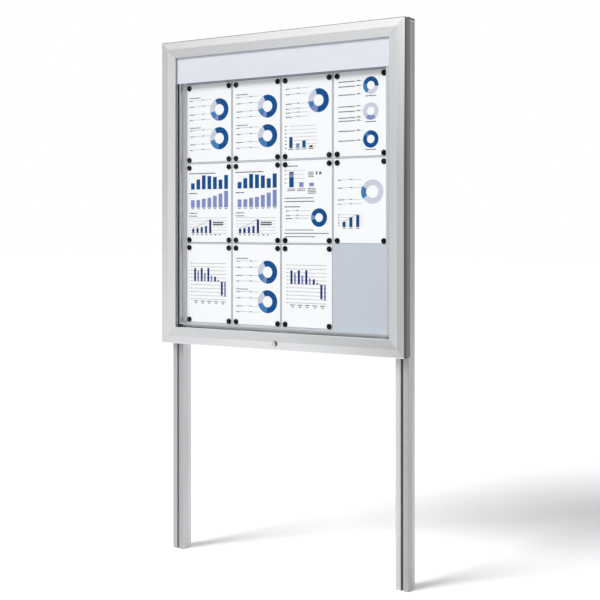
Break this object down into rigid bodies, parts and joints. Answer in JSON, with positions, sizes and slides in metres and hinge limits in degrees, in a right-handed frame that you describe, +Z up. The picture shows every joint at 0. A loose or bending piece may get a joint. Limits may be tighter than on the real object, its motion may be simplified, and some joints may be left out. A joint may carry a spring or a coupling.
{
  "type": "lockable notice board",
  "caption": "Outdoor display case on two aluminium posts, with a top-hung glazed door on gas struts, a cam lock, a header panel and sheets held by magnets.",
  "frame": {"origin": "on the ground under the middle of the board, at the bottom centre of its bounding box", "axes": "+X to the right of a reader in front of the door, +Y from the door to the posts, +Z up"},
  "size_m": [1.027, 0.1072, 1.9473],
  "materials": {
    "frames": "silver anodised, satin",
    "posts": "silver anodised, satin",
    "castings": "as cast",
    "panel": "pale blue-grey coated steel sheet",
    "header": "matt pale grey",
    "glass": "clear safety glass",
    "seals": "matt black",
    "caps": "matt grey",
    "sheets": "white printed paper with black magnets",
    "lock": "polished",
    "steel": "zinc plated",
    "strut_tubes": "black painted steel",
    "strut_rods": "hard chrome"
  },
  "bodies": {
    "stand": {"post_left": "posts", "post_right": "posts", "post_cap_left": "caps", "post_cap_right": "caps", "clamp_bolt_lower_left": "steel", "clamp_bolt_upper_left": "steel", "clamp_bolt_lower_right": "steel", "clamp_bolt_upper_right": "steel", "case_left": "frames", "case_bottom": "frames", "case_right": "frames", "case_top": "frames", "case_corner_bottom_left": "castings", "case_corner_bottom_right": "castings", "case_corner_top_right": "castings", "case_corner_top_left": "castings", "back_panel": "panel", "case_seal": "seals", "notice_sheet_1_1": "sheets", "notice_sheet_1_2": "sheets", "notice_sheet_1_3": "sheets", "notice_sheet_1_4": "sheets", "notice_sheet_2_1": "sheets", "notice_sheet_2_2": "sheets", "notice_sheet_2_3": "sheets", "notice_sheet_2_4": "sheets", "notice_sheet_3_1": "sheets", "notice_sheet_3_2": "sheets", "notice_sheet_3_3": "sheets", "hinge_leaf_case": "steel", "hinge_pin": "steel", "lock_keeper": "steel", "strut_bracket_left": "steel", "strut_bracket_right": "steel"},
    "door": {"door_left_stile": "frames", "door_bottom_rail": "frames", "door_right_stile": "frames", "door_top_rail": "frames", "door_corner_bottom_left": "castings", "door_corner_bottom_right": "castings", "door_corner_top_right": "castings", "door_corner_top_left": "castings", "glazing_bead_left": "frames", "glazing_bead_bottom": "frames", "glazing_bead_right": "frames", "glazing_bead_top": "frames", "glazing": "glass", "glazing_gasket": "seals", "header_panel": "header", "hinge_leaf_door": "steel", "lock_housing": "lock", "lock_nut": "steel", "strut_stud_left": "steel", "strut_stud_right": "steel"},
    "lock": {"lock_plug": "lock", "lock_cam": "steel"},
    "cylinder_left": {"strut_cylinder_left": "strut_tubes"},
    "rod_left": {"strut_rod_left": "strut_rods"},
    "cylinder_right": {"strut_cylinder_right": "strut_tubes"},
    "rod_right": {"strut_rod_right": "strut_rods"}
  },
  "joints": [
    {"name": "door_hinge", "type": "hinge", "parent": "stand", "child": "door", "pos_m": [0, -0.02705, 1.938], "axis": [-1, 0, 0], "range_deg": [0, 75]},
    {"name": "lock_turn", "type": "hinge", "parent": "door", "child": "lock", "pos_m": [0, -0.052, 0.818], "axis": [0, -1, 0], "range_deg": [0, 90]},
    {"name": "strut_swing_left", "type": "hinge", "parent": "stand", "child": "cylinder_left", "pos_m": [-0.498, -0.01785, 1.879], "axis": [-1, 0, 0], "range_deg": [0, 84.5]},
    {"name": "strut_slide_left", "type": "slide", "parent": "cylinder_left", "child": "rod_left", "axis": [0, -0.0136, -0.9999], "range_m": [0, 0.0575]},
    {"name": "strut_swing_right", "type": "hinge", "parent": "stand", "child": "cylinder_right", "pos_m": [0.498, -0.01785, 1.879], "axis": [-1, 0, 0], "range_deg": [0, 84.5]},
    {"name": "strut_slide_right", "type": "slide", "parent": "cylinder_right", "child": "rod_right", "axis": [0, -0.0136, -0.9999], "range_m": [0, 0.0575]}
  ],
  "couplings": [
    {"joint": "strut_swing_left", "follows": "door_hinge", "ratio": 1.1235},
    {"joint": "strut_slide_left", "follows": "door_hinge", "m_per_rad": 0.043773},
    {"joint": "strut_swing_right", "follows": "door_hinge", "ratio": 1.1235},
    {"joint": "strut_slide_right", "follows": "door_hinge", "m_per_rad": 0.043773}
  ]
}
